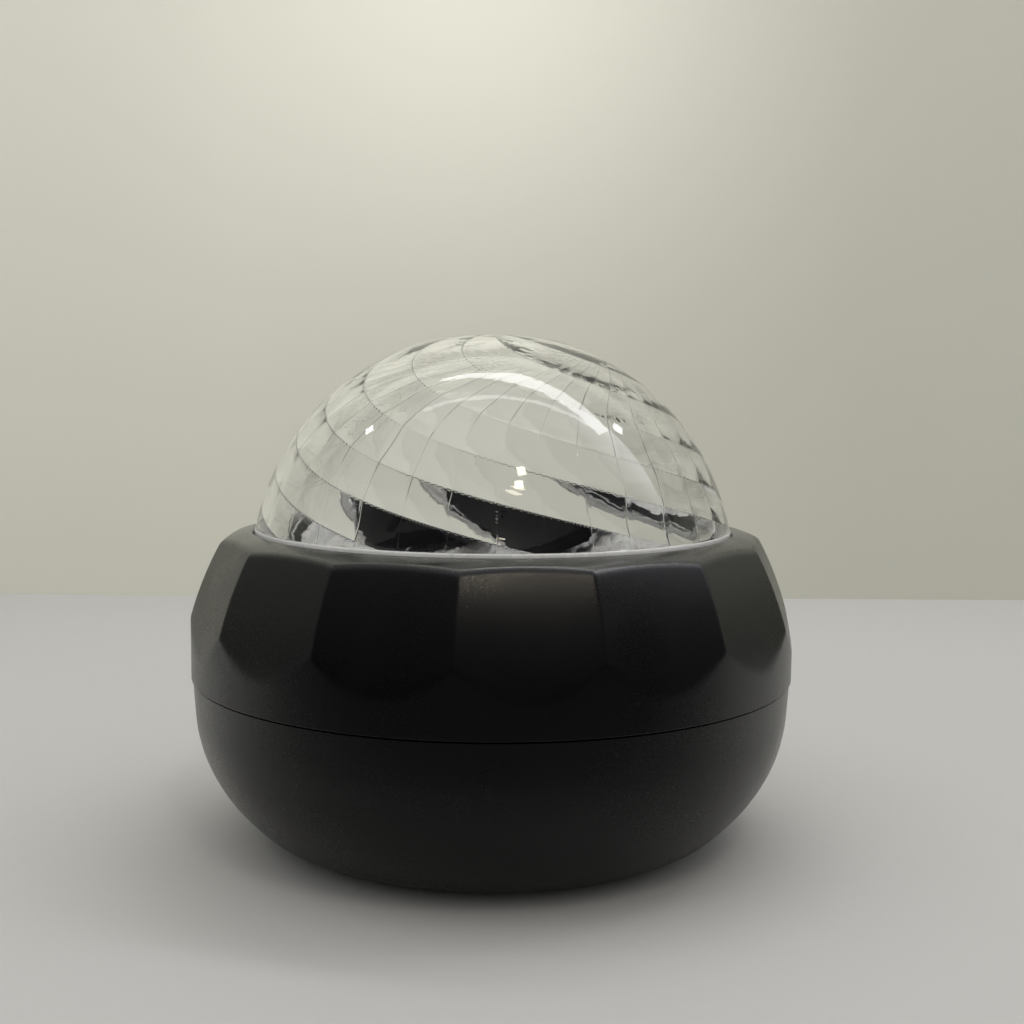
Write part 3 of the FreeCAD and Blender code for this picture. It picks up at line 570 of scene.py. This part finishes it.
def clear(name, colour, ior, rough, wave_scale, wave_depth, wobble=0.01):
    """Moulded clear plastic: slight flow waviness and a faint haze that changes over the surface."""
    t = Tree(name)
    t.set(Base_Color=(*colour, 1.0), Transmission_Weight=1.0, IOR=ior, Specular_IOR_Level=0.5)
    slow = t.noise(wave_scale, 2.0, 0.5)
    t.roughness(t.span(slow, rough, rough + wobble))
    t.normal(t.bump(slow, wave_depth))
    return t.mat




DOME_SPEC = dict(
    wall=4.0,              # mm, from the outside to a crease
    lobes=10,
    height=0.32,           # how much thicker the middle of a lobe is
    twist=0.170,           # mm of height for each degree round the axis
    phase=-7.0,            # degrees from the front towards +X of one crease at height 59.5
    power=2.0,             # 2 is a plain parabola across the lobe
    fade=36.0,             # mm from the axis over which the lobes grow to full height
    flute=0.05,            # height of the shallow cells between the hairlines
)


def dome_outside():
    """Clear dome outside: level flow marks that break up what it mirrors, and a little haze."""
    t = Tree("dome_clear")
    t.set(Base_Color=(0.985, 0.99, 0.99, 1.0), Transmission_Weight=1.0, IOR=1.49, Specular_IOR_Level=0.5)
    flow = t.noise(34.0, 3.0, 0.55, (1.0, 1.0, 5.5), 0.4)
    split = t.node("ShaderNodeSeparateXYZ")
    t.link(t.pos, split.inputs[0])
    crown = t.span(split.outputs["Z"], 0.15, 1.0, 0.076, 0.086)
    streak = t.math("MULTIPLY", t.noise(70.0, 3.0, 0.6, (0.45, 0.45, 9.0), 0.3), crown)
    slow = t.noise(60.0, 2.0, 0.5)
    t.roughness(t.span(slow, 0.0, 0.03))
    t.normal(t.bump(streak, 3.6e-5, 0.8, t.bump(flow, 2.6e-5, 0.8, t.bump(slow, 1.2e-5))))
    return t.mat


M["clear_dome"] = dome_outside()


def dome_inside():
    """The moulded inside of the dome: hairlines cross the lens bands and lean over towards the top."""
    t = Tree("dome_clear_inside")
    t.set(Base_Color=(0.985, 0.99, 0.99, 1.0), Transmission_Weight=1.0, IOR=1.49, Specular_IOR_Level=0.5)
    split = t.node("ShaderNodeSeparateXYZ")
    t.link(t.pos, split.inputs[0])
    x, y = split.outputs["X"], split.outputs["Y"]
    rho = t.math("SQRT", t.math("ADD", t.math("MULTIPLY", x, x), t.math("MULTIPLY", y, y)), 0.0)
    angle = t.math("MULTIPLY", t.math("ARCTAN2", x, t.math("MULTIPLY", y, -1.0)), 180.0 / math.pi)
    lean = t.math("MAXIMUM", t.math("SUBTRACT", t.math("DIVIDE", 0.0375, rho), 1.0), 0.0)
    lean = t.math("MULTIPLY", t.math("POWER", lean, 1.6), 45.0)
    wander = t.span(t.noise(42.0, 2.0), -2.0, 2.0)
    v = t.math("ADD", t.math("SUBTRACT", angle, lean), t.math("ADD", wander, 720.0))
    frac = t.math("FRACT", t.math("DIVIDE", v, 11.25), 0.0)
    near = t.math("ABSOLUTE", t.math("SUBTRACT", frac, 0.5), 0.0)
    groove = t.span(near, 0.0, 1.0, 0.484, 0.5)
    some = t.span(t.noise(70.0, 1.0), 0.0, 1.0, 0.36, 0.50)
    line = t.math("MULTIPLY", groove, some)
    # tiny beads along the creases between the lens bands
    spiral = t.math("ADD", angle, t.math("DIVIDE", t.math("SUBTRACT", split.outputs["Z"], 0.0595), DOME_SPEC["twist"] * 0.001))
    lobe_angle = 360.0 / DOME_SPEC["lobes"]
    across = t.math("FRACT", t.math("DIVIDE", t.math("ADD", spiral, 1441.0 - DOME_SPEC["phase"]), lobe_angle), 0.0)
    edge = t.span(t.math("ABSOLUTE", t.math("SUBTRACT", across, 0.5), 0.0), 0.0, 1.0, 0.480, 0.496)
    beads = t.math("MULTIPLY", edge, t.math("SINE", t.math("MULTIPLY", angle, 3.6), 0.0))
    slow = t.noise(75.0, 2.0, 0.5)
    t.roughness(t.span(slow, 0.0, 0.012))
    marks = t.math("ADD", line, t.math("MULTIPLY", beads, 0.9))
    t.normal(t.bump(marks, 3.8e-5, 0.8, t.bump(slow, 3e-5)))
    return t.mat


M["clear_dome_inside"] = dome_inside()
# the lip's pale frosted colour is partly its own frosting and partly a painted highlight standing in for its bright
# lit edge
t = Tree("dome_clear_lip")
haze = t.noise(220.0, 3.0)
t.set(Transmission_Weight=0.15, IOR=1.49)
t.base(t.ramp(haze, [(0.3, (0.93, 0.935, 0.93)), (0.7, (0.97, 0.97, 0.965))]))
t.roughness(t.span(haze, 0.22, 0.34))
t.normal(t.bump(haze, 1e-5))
M["clear_dome_lip"] = t.mat


def disc_clear():
    """The rippled disc: slightly milky clear plastic, crumpled in small folds, with painted shade darkening the
    hollows between them.
    """
    t = Tree("disc_clear")
    t.set(Transmission_Weight=0.40, IOR=1.49, Specular_IOR_Level=0.8)
    fold = t.noise(300.0, 4.0, 0.62, (1.0, 1.0, 0.3), 1.2)
    peel = t.noise(900.0, 2.0, 0.5)
    slow = t.noise(150.0, 2.0, 0.5)
    # painted shade: the colour is darkest where the folds dip lowest
    t.base(t.ramp(fold, [(0.36, (0.45, 0.455, 0.46)), (0.46, (0.90, 0.905, 0.91)), (0.58, (1.0, 1.0, 1.0)), (0.70, (0.80, 0.805, 0.81))]))
    t.roughness(t.span(slow, 0.04, 0.14))
    t.normal(t.bump(peel, 2e-5, 0.6, t.bump(fold, 2.2e-4)))
    return t.mat


M["clear_disc"] = disc_clear()
M["clear_lens"] = clear("lens_clear", (0.97, 0.98, 0.98), 1.5, 0.0, 300.0, 4e-6)

slot_of = {p["node"]: p.get("material_slot") for p in frame["record"]["subparts"]}
for name, ob in nodes.items():
    slot = slot_of.get(name)
    key = {"power_button": "button_black", "shade_plate": "plate_black"}.get(name, slot)
    ob.data.materials.clear()
    ob.data.materials.append(M[key])

# ------------------------------------------------------------------ the dome
DOME = [
    (43.40, 57.4), (42.95, 59.4), (42.32, 61.6), (41.57, 63.8), (40.70, 66.0), (39.69, 68.2), (38.53, 70.4), (37.20, 72.6),
    (35.69, 74.8), (33.97, 77.0), (32.00, 79.2), (29.74, 81.4), (27.12, 83.6), (24.00, 85.8), (20.19, 88.0), (15.13, 90.2),
    (10.40, 91.5), (5.50, 92.27), (0.0, 92.55)]


def dome_profile(steps):
    pts = spline_points(DOME, steps)
    out = []
    for i, p in enumerate(pts):
        a, b = pts[max(i - 1, 0)], pts[min(i + 1, len(pts) - 1)]
        d = Vector((b[0] - a[0], b[1] - a[1])).normalized()
        n = Vector((-d.y, d.x))            # points inwards
        if i == len(pts) - 1:
            n = Vector((0.0, -1.0))
        if n.x > 0:
            n = -n
        out.append((p[0], p[1], n.x, n.y))
    return out


def make_dome(spec):
    LOBES, WALL_T = spec["lobes"], spec["wall"]
    prof = dome_profile(10)
    n_t = 720
    per = n_t // LOBES
    verts, faces = [], []

    def ring(points):
        start = len(verts)
        verts.extend(points)
        return start

    def join(a, b, n=n_t):
        for k in range(n):
            j = (k + 1) % n
            faces.append((a + k, a + j, b + j, b + k))

    angles = [2 * math.pi * k / n_t for k in range(n_t)]

    def circle(r, z):
        return ring([(r * math.cos(a) * MM, r * math.sin(a) * MM, z * MM) for a in angles])

    # outside, from the lip up
    rows = [circle(39.9, 55.5), circle(43.4, 55.5), circle(43.55, 55.6), circle(43.6, 55.8), circle(43.6, 57.0),
            circle(43.56, 57.2), circle(43.47, 57.33)]
    for r, z, nx, nz in prof[:-1]:
        rows.append(circle(r, z))
    for a, b in zip(rows, rows[1:]):
        join(a, b)
    top = len(verts)
    verts.append((0, 0, prof[-1][1] * MM))
    for k in range(n_t):
        faces.append((rows[-1] + k, rows[-1] + (k + 1) % n_t, top))
    # inside, from the foot up: spiral lobes, thick in the middle and with a crease between them
    inner = []
    z_foot = prof[0][1]
    base = [(prof[0][0] - WALL_T, 55.5, -1.0, 0.0)] + prof[:-1]
    for i, (r, z, nx, nz) in enumerate(base):
        ri, zi = (r, z) if i == 0 else (r + nx * WALL_T, z + nz * WALL_T)
        if i and ri < 0.8:
            break
        fade = min(1.0, max(0.0, (ri - 2.0) / spec["fade"])) ** 0.7
        turn = -(zi - 59.5) / spec["twist"]
        lean = 45.0 * max(37.5 / ri - 1.0, 0.0) ** 1.6
        pts = []
        for k in range(n_t):
            u = ((k % per) / per) * 2 - 1
            h = spec["height"] * fade * (1 - abs(u) ** spec["power"])
            deg = spec["phase"] + 360.0 * k / n_t + turn
            a = math.radians(deg)
            cell = ((deg - lean + 720.0) / 11.25) % 1.0 * 2 - 1
            h += spec["flute"] * fade * (1 - cell * cell)
            # angle a is counted from the front towards +X
            rr, zz = ri + nx * h, zi + nz * h
            pts.append((rr * math.sin(a) * MM, -rr * math.cos(a) * MM, zz * MM))
        inner.append(ring(pts))
    inside_from = len(faces)
    for a, b in zip(inner, inner[1:]):
        for k in range(n_t):
            j = (k + 1) % n_t
            faces.append((a + k, b + k, b + j, a + j))
    cap = len(verts)
    verts.append((0, 0, (prof[-1][1] - WALL_T) * MM))
    for k in range(n_t):
        faces.append((inner[-1] + (k + 1) % n_t, inner[-1] + k, cap))
    inside_to = len(faces)
    # flat foot between the outside and the inside: bridge through an annulus with matching angles
    first_out, first_in = rows[0], inner[0]
    offset_deg = spec["phase"] - (55.5 - 59.5) / spec["twist"]
    # inner vertex k lies at offset_deg + 360 k / n from the front; outer vertex j at 360 j / n from +X
    shift = (offset_deg - 90.0) / (360.0 / n_t)
    for k in range(n_t):
        j0 = int(round(k + shift)) % n_t
        j1 = int(round(k + 1 + shift)) % n_t
        faces.append((first_out + j1, first_out + j0, first_in + k, first_in + (k + 1) % n_t))
    ob = new_object("dome_clear_cover", verts, faces)
    for i, p in enumerate(ob.data.polygons):
        p.material_index = 1 if inside_from <= i < inside_to else 2 if i < 6 * n_t else 0
    bm = bmesh.new()
    bm.from_mesh(ob.data)
    bmesh.ops.recalc_face_normals(bm, faces=bm.faces)
    bm.to_mesh(ob.data)
    bm.free()
    return ob


dome = make_dome(DOME_SPEC)
dome.visible_shadow = False   # the lamps and the tubes light what lies under the clear dome
mark_sharp(dome, 9.0)
dome.data.materials.append(M["clear_dome"])
dome.data.materials.append(M["clear_dome_inside"])
dome.data.materials.append(M["clear_dome_lip"])
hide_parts("dome_lens")
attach(dome, "case")

# ------------------------------------------------------------------ upper shell with softened ridges
R_BODY, R_LEDGE, Z_RIM, Z_SEAM = 55.0, 43.85, 56.80, 30.8
FACETS, FACET_PHASE = 15, -5.953


def circle_through(a, b, c):
    d = 2 * (a[0] * (b[1] - c[1]) + b[0] * (c[1] - a[1]) + c[0] * (a[1] - b[1]))
    sa, sb, sc = (p[0] ** 2 + p[1] ** 2 for p in (a, b, c))
    ux = (sa * (b[1] - c[1]) + sb * (c[1] - a[1]) + sc * (a[1] - b[1])) / d
    uy = (sa * (c[0] - b[0]) + sb * (a[0] - c[0]) + sc * (b[0] - a[0])) / d
    return ux, uy, math.hypot(a[0] - ux, a[1] - uy)


FX, FZ, FR = circle_through((48.54, 55.00), (52.61, 45.65), (55.03, 36.03))


def flat_distance(z):
    return FX + math.sqrt(FR ** 2 - (z - FZ) ** 2)


def shoulder_z(r):
    return Z_RIM - 0.10 * (r - R_LEDGE) - 0.031 * (r - R_LEDGE) ** 2


def smooth_min(values, k):
    low = min(values)
    return low - k * math.log(sum(math.exp(-(v - low) / k) for v in values if v - low < 40 * k))


def skin_radius(angle, z):
    """Distance from the axis of the outer skin; angle in degrees from the front towards +X."""
    step = 360.0 / FACETS
    d = flat_distance(z)
    first = math.floor((angle - FACET_PHASE) / step)
    flats = []
    for i in (first - 1, first, first + 1):
        turn = math.radians(angle - (FACET_PHASE + (i + 0.5) * step))
        if math.cos(turn) > 0.3:
            flats.append(d / math.cos(turn))
    flat = smooth_min(flats, 0.05)
    return smooth_min([flat, R_BODY], 0.035)


def make_skin_cutter(inset=0.02):
    step = 360.0 / FACETS
    near_ridge = [0.0, 0.12, 0.25, 0.4, 0.6, 0.9, 1.4, 2.2, 3.4, 5.0, 7.0, 9.4]
    offsets = near_ridge + [12.0] + [step - v for v in reversed(near_ridge[1:])]
    angles = [FACET_PHASE + k * step + o for k in range(FACETS) for o in offsets]
    n = len(angles)
    zs = [Z_SEAM + 0.13 + 0.45 * i for i in range(200)]
    grid = []
    for angle in angles:
        col = [(54.78, 27.0), (54.80, Z_SEAM), (54.93, Z_SEAM + 0.05)]
        # where the flat meets the sloping shoulder
        lo, hi = 50.0, 56.5
        for _ in range(40):
            mid = (lo + hi) / 2
            if mid < shoulder_z(skin_radius(angle, mid)):
                lo = mid
            else:
                hi = mid
        z_e = (lo + hi) / 2
        r_e = skin_radius(angle, z_e)
        soft = 0.85
        z_s = z_e - soft
        r_s = skin_radius(angle, z_s)
        count = 52
        z0 = Z_SEAM + 0.16
        for i in range(count):
            z = z0 + (z_s - z0) * i / (count - 1)
            col.append((skin_radius(angle, z) - inset, z))
        q0, q1 = Vector((r_s, z_s)), Vector((r_e, z_e))
        q2 = Vector((r_e - soft, shoulder_z(r_e - soft)))
        for i in range(1, 9):
            t = i / 8.0
            q = q0 * (1 - t) ** 2 + q1 * 2 * t * (1 - t) + q2 * t * t
            col.append((q.x - inset, q.y - inset * 0.5))
        for i in range(1, 13):
            r = q2.x + (42.5 - q2.x) * i / 12.0
            col.append((r - inset, shoulder_z(max(r, R_LEDGE)) - inset))
        grid.append(col)
    rows = len(grid[0])
    verts, faces = [], []
    for j in range(rows):
        for angle, col in zip(angles, grid):
            a = math.radians(angle)
            r, z = col[j]
            verts.append((r * math.sin(a) * MM, -r * math.cos(a) * MM, z * MM))
    for j in range(rows - 1):
        for k in range(n):
            k2 = (k + 1) % n
            faces.append((j * n + k, j * n + k2, (j + 1) * n + k2, (j + 1) * n + k))
    low = len(verts)
    verts.append((0, 0, 27.0 * MM))
    verts.append((0, 0, 57.5 * MM))
    for k in range(n):
        k2 = (k + 1) % n
        faces.append((k2, k, low))
        faces.append(((rows - 1) * n + k, (rows - 1) * n + k2, low + 1))
    return new_object("skin_cutter", verts, faces)


def copy_of_node(node, name):
    ob = bpy.data.objects.new(name, nodes[node].data.copy())
    ob.data.name = name
    scene.collection.objects.link(ob)
    ob.data.materials.clear()
    bm = bmesh.new()
    bm.from_mesh(ob.data)
    bmesh.ops.remove_doubles(bm, verts=bm.verts, dist=1e-7)
    bmesh.ops.recalc_face_normals(bm, faces=bm.faces)
    bm.to_mesh(ob.data)
    bm.free()
    return ob


def intersected(ob, cutter):
    mod = ob.modifiers.new("skin", "BOOLEAN")
    mod.operation = "INTERSECT"
    mod.solver = "EXACT"
    mod.object = cutter
    bpy.context.view_layer.update()
    deps = bpy.context.evaluated_depsgraph_get()
    mesh = bpy.data.meshes.new_from_object(ob.evaluated_get(deps))
    ob.modifiers.clear()
    old = ob.data
    ob.data = mesh
    mesh.name = ob.name
    bpy.data.meshes.remove(old)
    bpy.data.objects.remove(cutter)
    return ob


shell = intersected(copy_of_node("upper_shell", "upper_shell_faceted"), make_skin_cutter())
shell.data.materials.clear()
shell.data.materials.append(M["black_shell"])
for p in shell.data.polygons:
    p.use_smooth = True
    p.material_index = 0
mark_sharp(shell, 24.0)
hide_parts("upper_shell")
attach(shell, "case")

# ------------------------------------------------------------------ wave disc, crumpled like disturbed water
from mathutils import noise as mnoise

DISC_R, DISC_HOLE, DISC_Z0, DISC_Z1 = 37.6, 4.05, 53.0, 55.2


def ripple(x, y):
    """0 to 1: crossing ridged waves of two sizes."""
    p = Vector((x / 5.2, y / 5.2, 3.7))
    warp = mnoise.noise_vector(p * 0.6) * 0.9
    a = 1.0 - abs(mnoise.noise(p + warp)) * 2.6
    b = 1.0 - abs(mnoise.noise(p * 2.3 + warp + Vector((7.1, 2.4, 0.0)))) * 2.2
    return max(0.0, min(1.0, 0.72 * a + 0.33 * b - 0.02))


def make_disc():
    n_a, n_r = 420, 62
    verts, faces = [], []
    radii = [DISC_HOLE + 0.15 + (DISC_R - 0.2 - DISC_HOLE - 0.15) * i / (n_r - 1) for i in range(n_r)]
    rows = []
    profile = [("flat", DISC_HOLE, DISC_Z0), ("flat", DISC_HOLE, DISC_Z1 - 0.15)]
    profile += [("wave", r, 0.0) for r in radii]
    profile += [("flat", DISC_R, DISC_Z0 + 1.0), ("flat", DISC_R, DISC_Z0 + 0.1), ("flat", DISC_R - 0.1, DISC_Z0)]
    for kind, r, z in profile:
        rows.append(len(verts))
        for k in range(n_a):
            a = 2 * math.pi * k / n_a
            x, y = r * math.cos(a), r * math.sin(a)
            zz = z
            if kind == "wave":
                edge = min(1.0, (DISC_R - r) / 1.2 + 0.15) * min(1.0, (r - DISC_HOLE) / 2.0)
                zz = DISC_Z1 - 0.02 - 1.15 * edge * (1.0 - ripple(x, y)) - 0.25 * (1 - edge)
            verts.append((x * MM, y * MM, zz * MM))
    for a, b in zip(rows, rows[1:] + rows[:1]):
        for k in range(n_a):
            k2 = (k + 1) % n_a
            faces.append((a + k, b + k, b + k2, a + k2))
    ob = new_object("wave_disc_rippled", verts, faces)
    bm = bmesh.new()
    bm.from_mesh(ob.data)
    bmesh.ops.recalc_face_normals(bm, faces=bm.faces)
    bm.to_mesh(ob.data)
    bm.free()
    return ob


disc = make_disc()
mark_sharp(disc, 50.0)
disc.data.materials.append(M["clear_disc"])
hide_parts("wave_disc")
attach(disc, "rotor")
